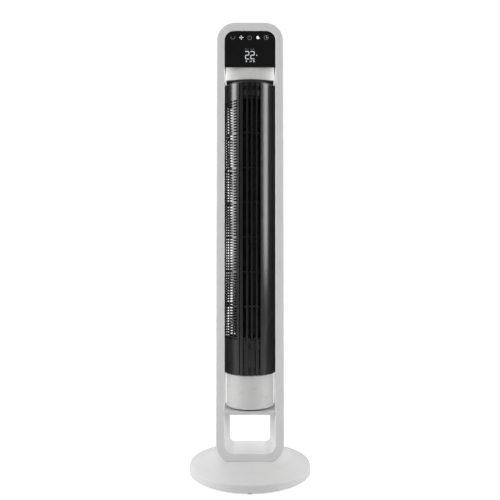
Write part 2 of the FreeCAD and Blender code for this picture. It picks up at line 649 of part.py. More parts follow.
def lower_deck():
    shape = deck(LOWER_DECK_Z, LOWER_DECK_Z + DECK_T - RIM_H, 14.0)
    return shape.cut(Part.Compound([cyl(MOUNT_SCREW_R + CLEAR, 0, FAR, *around(MOTOR_MOUNT_CIRCLE, a, 0)[:2])
                                    for a in spaced(4, 45)]))


def mid_deck():
    shape = deck(MID_DECK_Z, MID_DECK_Z, 20.0)
    spigot = tube(SHELL_DECK_R, SHELL_DECK_R - RIM_T, MID_DECK_Z - 12, MID_DECK_Z + DECK_T)
    shape = fused([shape, spigot])
    holes = [radial_hole(SHELL_R, a, SHELL_SCREW_LEVELS[1]) for a in SHELL_SCREW_ANGLES]
    return shape.cut(Part.Compound(holes))


def column_screws():
    return Part.Compound([radial_screw(COLUMN_R, a, z)
                          for a in DECK_SCREW_ANGLES for z in DECK_SCREW_LEVELS])


def bearing_mount():
    ring = tube(MOUNT_R, BEARING_R, UPPER_DECK_Z - 1, UPPER_DECK_Z + 9)
    lip = tube(MOUNT_R + 2.5, BEARING_R, UPPER_DECK_Z + DECK_T, UPPER_DECK_Z + DECK_T + 2)
    return fused([ring, lip])


def upper_bearing():
    return tube(BEARING_R, AXLE_R + RUNNING, UPPER_DECK_Z, UPPER_DECK_Z + 8)


# ---- fan motor and impeller ---------------------------------------------------

def fan_motor():
    can = tube(MOTOR_R, MOTOR_R - MOTOR_WALL, MOTOR_Z0, MOTOR_Z1)
    ends = [tube(MOTOR_R, SHAFT_R + RUNNING, MOTOR_Z0, MOTOR_Z0 + 3),
            tube(MOTOR_R, SHAFT_R + RUNNING, MOTOR_Z1 - 3, MOTOR_Z1)]
    stator = tube(MOTOR_R - MOTOR_WALL + LAP, STATOR_IN, MOTOR_Z0 + 10, MOTOR_Z1 - 12)
    flange = tube(MOTOR_MOUNT_CIRCLE + 6, MOTOR_R - 4, MOTOR_Z1 - 1, MOTOR_Z1 + 2)
    shape = fused([can, stator, flange] + ends)
    return shape.cut(Part.Compound([cyl(GROMMET_R, MOTOR_Z1 - 5, FAR, *around(MOTOR_MOUNT_CIRCLE, a, 0)[:2])
                                    for a in spaced(4, 45)]))


def motor_mounts():
    """Rubber grommets that hang the fan motor's flange from the lower deck."""
    mounts = []
    for angle in spaced(4, 45):
        x, y, _ = around(MOTOR_MOUNT_CIRCLE, angle, 0)
        mount = fused([cyl(GROMMET_R, MOTOR_Z1 - 3, LOWER_DECK_Z, x, y),
                       cyl(GROMMET_LIP_R, MOTOR_Z1 + 2, LOWER_DECK_Z, x, y),
                       cyl(GROMMET_LIP_R, MOTOR_Z1 - 4, MOTOR_Z1 - 1, x, y)])
        mounts.append(mount.cut(cyl(MOUNT_SCREW_R + CLEAR, 0, FAR, x, y)))
    return Part.Compound(mounts)


def motor_screws():
    return Part.Compound([screw(around(MOTOR_MOUNT_CIRCLE, a, MOTOR_Z1 - 4), Z_AXIS,
                                2 * MOUNT_SCREW_R, 2.0, MOUNT_SCREW_R, 18)
                          for a in spaced(4, 45)])


def motor_rotor():
    return fused([cyl(ROTOR_R, MOTOR_Z0 + 12, MOTOR_Z1 - 14),
                  cyl(SHAFT_R, MOTOR_Z0 - 4, IMPELLER_Z0 - 3)])


def drive_hub():
    bottom = IMPELLER_Z0 - HUB_H
    shape = fused([cyl(1.5 * HUB_R, bottom, IMPELLER_Z0), cyl(HUB_R, bottom, IMPELLER_Z0 + DISC_T)])
    return shape.cut(cyl(SHAFT_R, IMPELLER_Z0 - 20, IMPELLER_Z0 - 3))


def impeller_axle():
    return fused([cyl(AXLE_R, IMPELLER_Z1 - DISC_T, UPPER_DECK_Z + 10),
                  cyl(HUB_R, IMPELLER_Z1, IMPELLER_Z1 + 1.5)])


def blade(angle):
    """Curved strip that runs through every disc of the impeller."""
    def at(radius, lead, offset):
        return around(radius, angle + lead + math.degrees(offset / radius), IMPELLER_Z0)

    inner, middle, outer, half = BLADE_IN, BLADE_MIDDLE, IMPELLER_R - LAP, BLADE_HALF
    front, back = [[at(inner, 0, side), at(middle, BLADE_DIP, side), at(outer, BLADE_SWEEP, side)]
                   for side in (half, -half)]
    edges = [arc(*front), line(front[2], back[2]), arc(*back[::-1]), line(back[0], front[0])]
    return prism(edges, vec(0, 0, IMPELLER_Z1 - IMPELLER_Z0))


def impeller():
    levels = [IMPELLER_Z0 + SEGMENT * i for i in range(SEGMENTS + 1)]
    discs = [tube(IMPELLER_R, HUB_R, levels[0], levels[0] + DISC_T),
             tube(IMPELLER_R, AXLE_R, levels[-1] - DISC_T, levels[-1])]
    discs += [tube(IMPELLER_R, IMPELLER_BORE, z - DISC_T / 2, z + DISC_T / 2) for z in levels[1:-1]]
    return fused(discs + [blade(a) for a in spaced(BLADES)])


# ---- column walls -------------------------------------------------------------

WALL_Z0, WALL_Z1 = BLACK_Z0, CAP_Z0
SLATS = ((-22.8, -15.8), (-8.4, -4.4), (2.3, 5.6), (12.7, 16.5))
SLAT_IN, RIB_OUT, RIB_T = 55.2, 60.2, 2.4
OUTLET_EDGE = 1.0
BLIND_IN, BLIND_OUT = 56.7, 58.2
NOTCH_IN = 48.0


def outlet_grille():
    """Upright slats tied by thin ribs, with blind panels above and below the open part."""
    bars = SLATS + ((OUTLET_LEFT, OUTLET_LEFT + OUTLET_EDGE), (OUTLET_RIGHT - OUTLET_EDGE, OUTLET_RIGHT))
    pieces = [sector(SLAT_IN, COLUMN_R, a, b, WALL_Z0, WALL_Z1) for a, b in bars]
    for k in range(RIBS):
        z = RIB_Z0 + RIB_PITCH * k
        pieces.append(sector(SLAT_IN, RIB_OUT, OUTLET_LEFT, OUTLET_RIGHT, z - RIB_T / 2, z + RIB_T / 2))
    blinds = ((WALL_Z0, RIB_Z0), (RIB_TOP, WALL_Z1))
    pieces += [sector(BLIND_IN, BLIND_OUT, OUTLET_LEFT, OUTLET_RIGHT, z0, z1) for z0, z1 in blinds]
    rims = ((WALL_Z0 - 1, MID_DECK_Z + RIM_H), (LOWER_DECK_Z + DECK_T - RIM_H, LOWER_DECK_Z + DECK_T),
            (UPPER_DECK_Z, UPPER_DECK_Z + RIM_H), (CAP_Z0 - CAP_SPIGOT, CAP_Z0 + 1))
    notches = [tube(COLUMN_IN, NOTCH_IN, z0 - SEAM, z1 + SEAM) for z0, z1 in rims]
    return fused(pieces).cut(Part.Compound(notches))


def side_panel():
    return sector(COLUMN_IN, COLUMN_R, OUTLET_RIGHT, SIDE_PANEL_END, WALL_Z0, WALL_Z1)


def lattice_holes(start):
    """Cutters for one intake panel: rows of short openings, twelve between one rib level and the next."""
    margin = (RIB_PITCH - ROW_PITCH * LATTICE_ROWS + ROW_PITCH - ROW_OPEN) / 2
    levels = [RIB_Z0 + RIB_PITCH * k + margin + ROW_PITCH * row
              for k in range(RIBS - 1) for row in range(LATTICE_ROWS)]
    cutters = []
    for column in range(LATTICE_COLUMNS):
        a1 = start - LATTICE_STEP * column - LATTICE_BAR / 2
        a0 = a1 - LATTICE_STEP + LATTICE_BAR
        cutters += [sector(COLUMN_IN - 1, COLUMN_R + 1, a0, a1, z, z + ROW_OPEN) for z in levels]
    return cutters


def intake_grille(number):
    first = LATTICE_START - LATTICE_STEP * LATTICE_COLUMNS * number
    start = OUTLET_LEFT if number == 0 else first
    wall = sector(COLUMN_IN, COLUMN_R, first - LATTICE_STEP * LATTICE_COLUMNS, start, WALL_Z0, WALL_Z1)
    screws = [radial_hole(COLUMN_R, a, z) for a in DECK_SCREW_ANGLES for z in DECK_SCREW_LEVELS]
    return wall.cut(Part.Compound(lattice_holes(first) + screws))


def guide(face, back):
    """Curved wall inside the column, between an arc through three polar points and its back."""
    z0, z1 = LOWER_DECK_Z + DECK_T, UPPER_DECK_Z
    front = [around(r, a, z0) for a, r in face]
    rear = [around(r, a, z0) for a, r in back]
    edges = [arc(*front), line(front[2], rear[0]), arc(*rear), line(rear[2], front[0])]
    return prism(edges, vec(0, 0, z1 - z0))


def scroll_wall():
    """Wall behind the side panel that guides the air round to the outlet."""
    return guide(((26.0, 58.8), (66.0, 50.0), (114.0, 43.5)), ((114.0, 45.3), (66.0, 51.8), (26.0, 60.6)))


def vortex_wall():
    """Tongue beside the outlet that parts the intake air from the outgoing air."""
    return guide(((-26.5, 60.8), (-32.0, 51.5), (-46.0, 43.0)), ((-46.5, 44.6), (-34.0, 53.2), (-28.6, 60.8)))


# ---- column cap and head ------------------------------------------------------

PIVOT_R, PIVOT_BORE, UPPER_BUSH_R = 8.0, 5.5, 11.0
CAP_EASE, BAND_EASE, PANEL_EASE, POST_BOSS_R = 0.8, 0.6, 0.6, 3.5
BOARD_Y, BOARD_HALF, BOARD_Z0, BOARD_Z1 = -44.0, 50.0, 994.0, 1062.0
DISPLAY_HALF, DISPLAY_GAP, DISPLAY_Z0, DISPLAY_Z1 = 22.0, 0.4, 1004.0, 1042.0
BOARD_SCREWS = [(x, z) for x in (-44.0, 44.0) for z in (999.0, 1050.0)]
PAD_X, PAD_Z, PAD_R = (-41.0, -21.0, -0.7, 19.0, 39.0), 1056.0, 4.0
PANEL_Y = FRAME_FRONT + PANEL_RECESS


def column_cap():
    """Black lid of the column, with the hollow pivot that turns in the head."""
    lid = cyl(COLUMN_R, CAP_Z0, CAP_Z1)
    lid = lid.makeFillet(CAP_EASE, [e for e in lid.Edges if e.BoundBox.ZMin > CAP_Z1 - 0.01])
    spigot = tube(DECK_R, DECK_R - HEAD_WALL, CAP_Z0 - CAP_SPIGOT, CAP_Z0 + 1)
    pivot = cyl(PIVOT_R, CAP_Z0 + 1, HOUSING_Z0 + 10)
    return fused([lid, spigot, pivot]).cut(cyl(PIVOT_BORE, 0, FAR))


def band_block(inset, z0, z1):
    """Block with the plan of the head's band: gently bowed in front, and bowed like the frame behind."""
    half, radius = BAND_HALF - inset, BAND_BOW_R - inset
    front = BAND_FRONT + BAND_BOW_R - math.sqrt(radius * radius - half * half)
    rear = bow_y(half, SEAM + inset)
    edges = [
        arc(vec(-half, front, z0), vec(0, BAND_FRONT + inset, z0), vec(half, front, z0)),
        line(vec(half, front, z0), vec(half, rear, z0)),
        arc(vec(half, rear, z0), vec(0, FRAME_REAR - SEAM - inset, z0), vec(-half, rear, z0)),
        line(vec(-half, rear, z0), vec(-half, front, z0)),
    ]
    return prism(edges, vec(0, 0, z1 - z0))


def head_band():
    shape = band_block(0, BAND_Z0, BAND_Z1)
    shape = shape.makeChamfer(BAND_EASE, [e for e in shape.Edges if e.BoundBox.ZMax < BAND_Z0 + 0.01])
    return shape.cut(band_block(BAND_WALL, BAND_Z0 - 1, BAND_Z1 + 1))


def head_skirt():
    """Black plate that closes the band from below and lets the column's pivot through."""
    plate = band_block(BAND_EASE, SKIRT_Z0, BAND_Z0)
    rim = band_block(BAND_WALL + SEAM, BAND_Z0, BAND_Z0 + SKIRT_RIM)
    rim = rim.cut(band_block(2 * BAND_WALL, BAND_Z0 - 1, BAND_Z0 + SKIRT_RIM + 1))
    return fused([plate, rim]).cut(cyl(PIVOT_R + 2, 0, FAR))


def head_shape(half, z0, z1, corner, y0, inset):
    outline = arch(half, z0, z1, 0, corner, y0, FRAME_REAR + 5)
    return outline.common(plan(half + 5, y0 - 5, z0 - 5, z1 + 5, inset))


def head_housing():
    half, top, corner = OPENING_HALF - SEAM, OPENING_TOP - SEAM, OPENING_CORNER - SEAM
    wall = HEAD_WALL
    outside = head_shape(half, HOUSING_Z0, top, corner, PANEL_Y + PANEL_T, SEAM)
    inside = head_shape(half - wall, HOUSING_Z0 + wall, top - wall, corner - wall,
                        PANEL_Y + PANEL_T - 1, SEAM + wall)
    posts = [rod(vec(x, BOARD_Y + BOARD_T, z), Y_AXIS, POST_BOSS_R, FAR).common(outside)
             for x, z in BOARD_SCREWS]
    bosses = [rod(vec(side * half, y, z), X_AXIS * -side, POST_BOSS_R, SIDE_SCREW_LENGTH)
              for side, y, z in HEAD_SCREWS]
    shape = fused([outside.cut(inside)] + posts + bosses)
    cuts = [cyl(UPPER_BUSH_R, HOUSING_Z0 - 1, HOUSING_Z0 + 10)]
    cuts += [side_hole(*place) for place in HEAD_SCREWS]
    cuts += [rod(vec(x, BOARD_Y - 5, z), Y_AXIS, SMALL_HOLE_R, 20) for x, z in BOARD_SCREWS]
    return shape.cut(Part.Compound(cuts))


def touch_panel():
    half, top, corner = OPENING_HALF - SEAM, OPENING_TOP - SEAM, OPENING_CORNER - SEAM
    shape = arch(half, PANEL_Z0, top, 0, corner, PANEL_Y, PANEL_Y + PANEL_T)
    front_loop = [e for e in shape.Edges if e.BoundBox.YMax < PANEL_Y + 0.01]
    return shape.makeFillet(PANEL_EASE, front_loop)


def control_board():
    back = BOARD_Y + BOARD_T
    board = block(-BOARD_HALF, BOARD_HALF, BOARD_Y, back, BOARD_Z0, BOARD_Z1)
    chips = [block(-30, -18, back, back + 2.4, 1012, 1024), block(14, 34, back, back + 10, 1004, 1012)]
    shape = fused([board] + chips)
    return shape.cut(Part.Compound([rod(vec(x, BOARD_Y - 5, z), Y_AXIS, SMALL_HOLE_R, 20)
                                    for x, z in BOARD_SCREWS]))


def display_module():
    front = PANEL_Y + PANEL_T + DISPLAY_GAP
    return block(-DISPLAY_HALF, DISPLAY_HALF, front, BOARD_Y, DISPLAY_Z0, DISPLAY_Z1)


def touch_pads():
    """Springy conductive pads between the board and the back of the touch glass."""
    length = BOARD_Y - PANEL_Y - PANEL_T
    return Part.Compound([rod(vec(x, PANEL_Y + PANEL_T, PAD_Z), Y_AXIS, PAD_R, length) for x in PAD_X])


def board_screws():
    return Part.Compound([screw(vec(x, BOARD_Y, z), Y_AXIS, SMALL_HEAD_R, SMALL_HEAD_H,
                                SMALL_SCREW_R, 8) for x, z in BOARD_SCREWS])


def upper_bush():
    top = HOUSING_Z0 + 2 * HEAD_WALL
    shape = fused([cyl(UPPER_BUSH_R, HOUSING_Z0, top), cyl(UPPER_BUSH_R + 3, HOUSING_Z0 + HEAD_WALL, top)])
    return shape.cut(cyl(PIVOT_R + RUNNING, 0, FAR))


# ---- every node ---------------------------------------------------------------

def build():
    front, rear = frame_halves()
    return {
        "base_cover": base_cover(),
        "base_plate": base_plate(),
        "rubber_feet": rubber_feet(),
        "base_screws": base_screws(),
        "foot_plate": foot_plate(),
        "frame_bolts": frame_bolts(),
        "cord_gland": cord_gland(),
        "frame_front": front,
        "frame_rear": rear,
        "frame_screws": frame_screws(),
        "swivel_bridge": swivel_bridge(),
        "bridge_cover": bridge_cover(),
        "bridge_screws": Part.Compound([side_screw(*place) for place in BRIDGE_SCREWS]),
        "swivel_post": swivel_post(),
        "post_screws": post_screws(),
        "sun_gear": sun_gear(),
        "slide_ring": slide_ring(),
        "head_housing": head_housing(),
        "head_band": head_band(),
        "head_skirt": head_skirt(),
        "head_screws": Part.Compound([side_screw(*place) for place in HEAD_SCREWS]),
        "touch_panel": touch_panel(),
        "touch_pads": touch_pads(),
        "control_board": control_board(),
        "display_module": display_module(),
        "board_screws": board_screws(),
        "upper_bush": upper_bush(),
        "column_cap": column_cap(),
        "outlet_grille": outlet_grille(),
        "side_panel": side_panel(),
        "intake_grille_left": intake_grille(0),
        "intake_grille_rear": intake_grille(1),
        "intake_grille_right": intake_grille(2),
        "scroll_wall": scroll_wall(),
        "vortex_wall": vortex_wall(),
        "upper_deck": upper_deck(),
        "lower_deck": lower_deck(),
        "mid_deck": mid_deck(),
        "column_screws": column_screws(),
        "bearing_mount": bearing_mount(),
        "upper_bearing": upper_bearing(),
        "fan_motor": fan_motor(),
        "motor_mounts": motor_mounts(),
        "motor_screws": motor_screws(),
        "lower_shell_front": lower_shell(True),
        "lower_shell_rear": lower_shell(False),
        "shell_screws": shell_screws(),
        "swivel_deck": swivel_deck(),
        "swivel_bush": swivel_bush(),
        "swivel_motor": swivel_motor(),
        "swivel_motor_screws": swivel_motor_screws(),
        "driver_board": driver_board(),
        "motor_rotor": motor_rotor(),
        "drive_hub": drive_hub(),
        "impeller": impeller(),
        "impeller_axle": impeller_axle(),
        "swivel_pinion": swivel_pinion(),
    }


os.makedirs("parts", exist_ok=True)
for name, shape in build().items():
    shape.exportStep(os.path.join("parts", name + ".step"))
    print(name, "solids", len(shape.Solids), "valid", shape.isValid(), "volume", round(shape.Volume))
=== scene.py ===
import math

import bmesh
import bpy
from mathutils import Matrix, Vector


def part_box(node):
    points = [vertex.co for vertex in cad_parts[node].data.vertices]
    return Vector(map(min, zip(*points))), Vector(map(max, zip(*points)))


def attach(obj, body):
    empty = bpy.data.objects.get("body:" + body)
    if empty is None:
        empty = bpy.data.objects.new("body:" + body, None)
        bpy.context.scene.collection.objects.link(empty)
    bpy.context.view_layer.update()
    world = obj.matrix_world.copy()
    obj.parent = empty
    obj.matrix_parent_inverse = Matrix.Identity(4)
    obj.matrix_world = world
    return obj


# Looks of the tower fan, in metres, in the CAD model's own frame: +Z up, front -Y.

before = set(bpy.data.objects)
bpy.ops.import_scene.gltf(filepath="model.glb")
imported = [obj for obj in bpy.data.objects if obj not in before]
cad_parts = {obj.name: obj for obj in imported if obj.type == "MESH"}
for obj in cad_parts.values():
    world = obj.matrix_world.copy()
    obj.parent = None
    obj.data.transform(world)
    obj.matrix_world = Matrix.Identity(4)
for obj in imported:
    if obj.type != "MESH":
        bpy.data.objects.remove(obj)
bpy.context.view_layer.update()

MM = 0.001


# ---- material building blocks -------------------------------------------------

NOISE_LOW, NOISE_HIGH = 0.3, 0.7
CLOUD_SIZE, SHEEN_SIZE = 0.05, 0.02
PLASTIC_SHEEN_SPREAD, METAL_SHEEN_SPREAD = 0.12, 0.15
INK_ROUGHNESS, INK_GLOW_SIZE, INK_DIMMED = 0.3, 0.002, 0.9


def new_material(name, **sockets):
    """A node material and its shader, with what is the same all over set on the shader's own sockets."""
    made = bpy.data.materials.new(name)
    made.use_nodes = True
    shader = made.node_tree.nodes["Principled BSDF"]
    for socket, value in sockets.items():
        shader.inputs[socket.replace("_", " ")].default_value = value
    return made, shader


def object_point(made, stretch=(1, 1, 1)):
    """The point on the object in its own frame, stretched along its axes."""
    nodes, links = made.node_tree.nodes, made.node_tree.links
    coordinates = nodes.new("ShaderNodeTexCoord")
    mapping = nodes.new("ShaderNodeMapping")
    mapping.inputs["Scale"].default_value = stretch
    links.new(coordinates.outputs["Object"], mapping.inputs["Vector"])
    return mapping.outputs["Vector"]


def noise(made, size, detail=3.0, stretch=(1, 1, 1)):
    """Noise whose lumps are about that many metres across."""
    node = made.node_tree.nodes.new("ShaderNodeTexNoise")
    node.inputs["Scale"].default_value = 1 / size
    node.inputs["Detail"].default_value = detail
    made.node_tree.links.new(object_point(made, stretch), node.inputs["Vector"])
    return node.outputs["Fac"]


def spread(made, value, low, high):
    """Noise brought from the range it mostly keeps to into another one."""
    node = made.node_tree.nodes.new("ShaderNodeMapRange")
    node.inputs["From Min"].default_value = NOISE_LOW
    node.inputs["From Max"].default_value = NOISE_HIGH
    node.inputs["To Min"].default_value = low
    node.inputs["To Max"].default_value = high
    made.node_tree.links.new(value, node.inputs["Value"])
    return node.outputs["Result"]


def blended(made, factor, first, second):
    """Colour that runs from the first to the second as the factor rises."""
    node = made.node_tree.nodes.new("ShaderNodeMix")
    node.data_type = "RGBA"
    made.node_tree.links.new(factor, node.inputs["Factor"])
    node.inputs["A"].default_value = (*first, 1)
    node.inputs["B"].default_value = (*second, 1)
    return node.outputs["Result"]


def uneven(made, value, middle, share):
    """A value that strays from its middle by that share either way, as the noise does."""
    return spread(made, value, middle * (1 - share), middle * (1 + share))


def bumped(made, shader, height, distance):
    """Small relief of that many metres on the surface."""
    node = made.node_tree.nodes.new("ShaderNodeBump")
    node.inputs["Distance"].default_value = distance
    node.inputs["Strength"].default_value = 1.0
    made.node_tree.links.new(height, node.inputs["Height"])
    made.node_tree.links.new(node.outputs["Normal"], shader.inputs["Normal"])


def moulded(name, colour, tint, roughness, grain, relief):
    """Moulded plastic: faint clouding of the colour, uneven sheen and a fine spark-eroded grain."""
    made, shader = new_material(name)
    links = made.node_tree.links
    cloud = spread(made, noise(made, CLOUD_SIZE), 0, 1)
    links.new(blended(made, cloud, colour, tint), shader.inputs["Base Color"])
    sheen = uneven(made, noise(made, SHEEN_SIZE, 4.0), roughness, PLASTIC_SHEEN_SPREAD)
    links.new(sheen, shader.inputs["Roughness"])
    bumped(made, shader, noise(made, grain, 2.0), relief)
    return made


def metal(name, colour, tint, roughness, size, stretch, relief, metallic=1.0):
    """Metal or metal paint, with grain drawn out along the stretched axes."""
    made, shader = new_material(name, Metallic=metallic)
    links = made.node_tree.links
    grain = noise(made, size, 4.0, stretch)
    links.new(blended(made, spread(made, grain, 0, 1), colour, tint), shader.inputs["Base Color"])
    links.new(uneven(made, grain, roughness, METAL_SHEEN_SPREAD), shader.inputs["Roughness"])
    bumped(made, shader, grain, relief)
    return made


def lit_ink(name, colour, strength):
    """Light that shines through the glass, with a slightly uneven glow."""
    made, shader = new_material(name, Roughness=INK_ROUGHNESS, Emission_Strength=strength)
    dimmer = tuple(INK_DIMMED * channel for channel in colour)
    glow = blended(made, spread(made, noise(made, INK_GLOW_SIZE), 0, 1), dimmer, colour)
    made.node_tree.links.new(glow, shader.inputs["Emission Color"])
    made.node_tree.links.new(glow, shader.inputs["Base Color"])
    return made


# ---- the materials ------------------------------------------------------------

# Plastics: name, colour, tint, roughness, size of the grain, depth of the relief.
FRAME_WHITE = moulded("frame_white", (0.70, 0.70, 0.70), (0.72, 0.72, 0.72), 0.45, 0.0012, 0.00002)
BASE_WHITE = moulded("base_white", (0.66, 0.66, 0.66), (0.68, 0.68, 0.675), 0.48, 0.0012, 0.00002)
SHELL_WHITE = moulded("shell_white", (0.58, 0.58, 0.575), (0.60, 0.60, 0.595), 0.30, 0.0014, 0.000004)
BRIDGE_WHITE = moulded("bridge_white", (0.60, 0.60, 0.60), (0.62, 0.62, 0.62), 0.5, 0.0012, 0.00002)
BLACK_GLOSS = moulded("black_gloss", (0.010, 0.010, 0.011), (0.014, 0.014, 0.015), 0.22, 0.003, 0.000006)
BLACK_INNER = moulded("black_inner", (0.008, 0.008, 0.009), (0.012, 0.012, 0.012), 0.55, 0.001, 0.00002)
GLASS = moulded("touch_glass", (0.004, 0.004, 0.005), (0.006, 0.006, 0.006), 0.09, 0.02, 0.000004)
IMPELLER_GREY = moulded("impeller_grey", (0.02, 0.02, 0.021), (0.028, 0.028, 0.03), 0.5, 0.0012, 0.00002)
RUBBER = moulded("rubber_black", (0.02, 0.02, 0.02), (0.03, 0.03, 0.03), 0.8, 0.0006, 0.00004)
BUSH = moulded("bush_plastic", (0.55, 0.54, 0.50), (0.60, 0.59, 0.55), 0.4, 0.001, 0.00002)
BOARD_GREEN = moulded("circuit_green", (0.02, 0.11, 0.05), (0.03, 0.15, 0.07), 0.35, 0.0008, 0.00002)

# Metals: name, colour, tint, roughness, size of the grain, its stretch, depth of the relief.
SILVER = metal("column_silver", (0.80, 0.80, 0.79), (0.86, 0.86, 0.85), 0.40, 0.004, (0.2, 0.2, 6),
               0.000002, metallic=0.35)
SCREW_STEEL = metal("screw_steel", (0.35, 0.35, 0.36), (0.45, 0.45, 0.46), 0.35, 0.0008, (1, 1, 1), 0.00001)
PLATE_STEEL = metal("plate_steel", (0.45, 0.45, 0.46), (0.55, 0.55, 0.56), 0.42, 0.006, (1, 12, 1), 0.00001)
MOTOR_STEEL = metal("motor_steel", (0.40, 0.40, 0.41), (0.50, 0.50, 0.51), 0.38, 0.004, (1, 1, 8), 0.00001)
BRONZE = metal("bearing_bronze", (0.45, 0.28, 0.13), (0.52, 0.34, 0.17), 0.4, 0.001, (1, 1, 1), 0.00002)

FINISHES = {
    FRAME_WHITE: ("frame_front", "frame_rear"),
    BASE_WHITE: ("base_cover",),
    SHELL_WHITE: ("lower_shell_front", "lower_shell_rear"),
    BRIDGE_WHITE: ("swivel_bridge", "bridge_cover"),
    SILVER: ("head_band",),
    BLACK_GLOSS: ("outlet_grille", "side_panel", "intake_grille_left", "intake_grille_rear",
                  "intake_grille_right"),
    BLACK_INNER: ("head_housing", "head_skirt", "column_cap", "scroll_wall", "vortex_wall",
                  "upper_deck", "lower_deck", "mid_deck", "swivel_deck", "bearing_mount",
                  "display_module", "base_plate", "cord_gland"),
    GLASS: ("touch_panel",),
    IMPELLER_GREY: ("impeller", "drive_hub"),
    RUBBER: ("rubber_feet", "motor_mounts", "touch_pads"),
    BUSH: ("slide_ring", "swivel_bush", "upper_bush", "sun_gear", "swivel_pinion", "swivel_post"),
    SCREW_STEEL: ("base_screws", "frame_bolts", "frame_screws", "bridge_screws", "post_screws",
                  "head_screws", "board_screws", "column_screws", "motor_screws", "shell_screws",
                  "swivel_motor_screws"),
    PLATE_STEEL: ("foot_plate", "impeller_axle"),
    MOTOR_STEEL: ("fan_motor", "motor_rotor", "swivel_motor"),
    BOARD_GREEN: ("control_board", "driver_board"),
    BRONZE: ("upper_bearing",),
}


def finish_nodes():
    """Each CAD node gets its finish."""
    for made, names in FINISHES.items():
        for name in names:
            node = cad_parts[name]
            node.data.materials.clear()
            node.data.materials.append(made)


finish_nodes()


# ---- lit marks on the touch panel ---------------------------------------------

GLOW_BRIGHT = lit_ink("glow_bright", (0.70, 0.71, 0.73), 0.75)
GLOW_DIGIT = lit_ink("glow_digit", (0.55, 0.56, 0.58), 0.55)
GLOW_DIM = lit_ink("glow_dim", (0.16, 0.165, 0.17), 0.30)

# Places and line widths on the panel, in mm.
INK_T = 0.1
PANEL_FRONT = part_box("touch_panel")[0][1] / MM
ICON_Z, ICON_LINE, TIMER_LINE = 1056.0, 1.1, 1.0
SWING_X, MODE_X, POWER_X, NIGHT_X, TIMER_X = -41.0, -21.0, -0.7, 19.0, 39.0
DIGIT_Z0, DIGIT_Z1 = 1004.75, 1022.55
DIGIT_INSET, DIGIT_BEND, DIGIT_LINE = 1.15, 2.6, 1.9
LABEL_Z, DASH_PITCH, DASH_LENGTH, DASH_LINE = 1028.0, 3.2, 1.8, 1.1
BAR_X, BAR_Z, BAR_PITCH, BAR_RISE, BAR_LINE = -0.8, 997.8, 2.1, 0.9, 1.1

ARC_STEP = 6.0
BEND_STEPS = 6
END_STEPS = 8
BLADE_SHAPE = ((0.10, 0), (0.42, 0.5), (0.78, 0.62), (1.0, 0.30), (0.98, -0.12), (0.74, -0.38),
               (0.40, -0.34))


def circle_points(x, z, radius, first=0.0, last=360.0):
    """Points of an arc on the panel, in mm; angles run from +X towards +Z."""
    count = max(2, math.ceil(abs(last - first) / ARC_STEP)) + 1
    turns = [math.radians(first + (last - first) * k / (count - 1)) for k in range(count)]
    return [(x + radius * math.cos(turn), z + radius * math.sin(turn)) for turn in turns]


def rounded_path(corners, radius):
    """Polyline whose inner corners are rounded off."""
    path = [corners[0]]
    for before, corner, after in zip(corners, corners[1:], corners[2:]):
        spot, start, end = Vector(corner), Vector(before), Vector(after)
        into, out = (start - spot).normalized(), (end - spot).normalized()
        first, last = spot + into * radius, spot + out * radius
        for k in range(BEND_STEPS + 1):
            t = k / BEND_STEPS
            point = first * (1 - t) ** 2 + spot * 2 * t * (1 - t) + last * t ** 2
            path.append(tuple(point))
    return path + [corners[-1]]


def round_end(centre, first):
    """Half circle round the end of a line, from its first side to the other, without both ends."""
    arm = first - centre
    points = []
    for k in range(1, END_STEPS):
        turn = math.pi * k / END_STEPS
        points.append(centre + Vector((arm.x * math.cos(turn) + arm.y * math.sin(turn),
                                       arm.y * math.cos(turn) - arm.x * math.sin(turn))))
    return points


def stroke(path, width):
    """Outline of a line of that width with round ends."""
    points = [Vector(p) for p in path]
    left, right = [], []
    for k, point in enumerate(points):
        along = (points[min(k + 1, len(points) - 1)] - points[max(k - 1, 0)]).normalized()
        across = Vector((-along.y, along.x)) * width / 2
        left.append(point + across)
        right.append(point - across)
    outline = left + round_end(points[-1], left[-1]) + right[::-1] + round_end(points[0], right[0])
    return [tuple(p) for p in outline]


def mark(name, outlines, finish):
    """Thin raised print on the front of the panel, from closed outlines in mm."""
    mesh = bmesh.new()
    for outline in outlines:
        back = [mesh.verts.new((x * MM, PANEL_FRONT * MM, z * MM)) for x, z in outline]
        front = [mesh.verts.new((x * MM, (PANEL_FRONT - INK_T) * MM, z * MM)) for x, z in outline]
        mesh.faces.new(back)
        mesh.faces.new(front)
        for k in range(len(outline)):
            mesh.faces.new((back[k - 1], back[k], front[k], front[k - 1]))
    bmesh.ops.recalc_face_normals(mesh, faces=mesh.faces)
    bmesh.ops.triangulate(mesh, faces=[f for f in mesh.faces if len(f.verts) > 4])
    data = bpy.data.meshes.new(name)
    mesh.to_mesh(data)
    mesh.free()
    data.materials.append(finish)
    made = bpy.data.objects.new(name, data)
    bpy.context.scene.collection.objects.link(made)
    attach(made, "stand")


def blades(x, z, radius, count, width):
    """Curved blades round a centre, like a small fan wheel."""
    outlines = []
    for k in range(count):
        turn = math.radians(360 * k / count)
        ahead = Vector((math.cos(turn), math.sin(turn)))
        aside = Vector((-ahead.y, ahead.x))
        centre = Vector((x, z))
        outlines.append([tuple(centre + ahead * radius * a + aside * width * b) for a, b in BLADE_SHAPE])
    return outlines


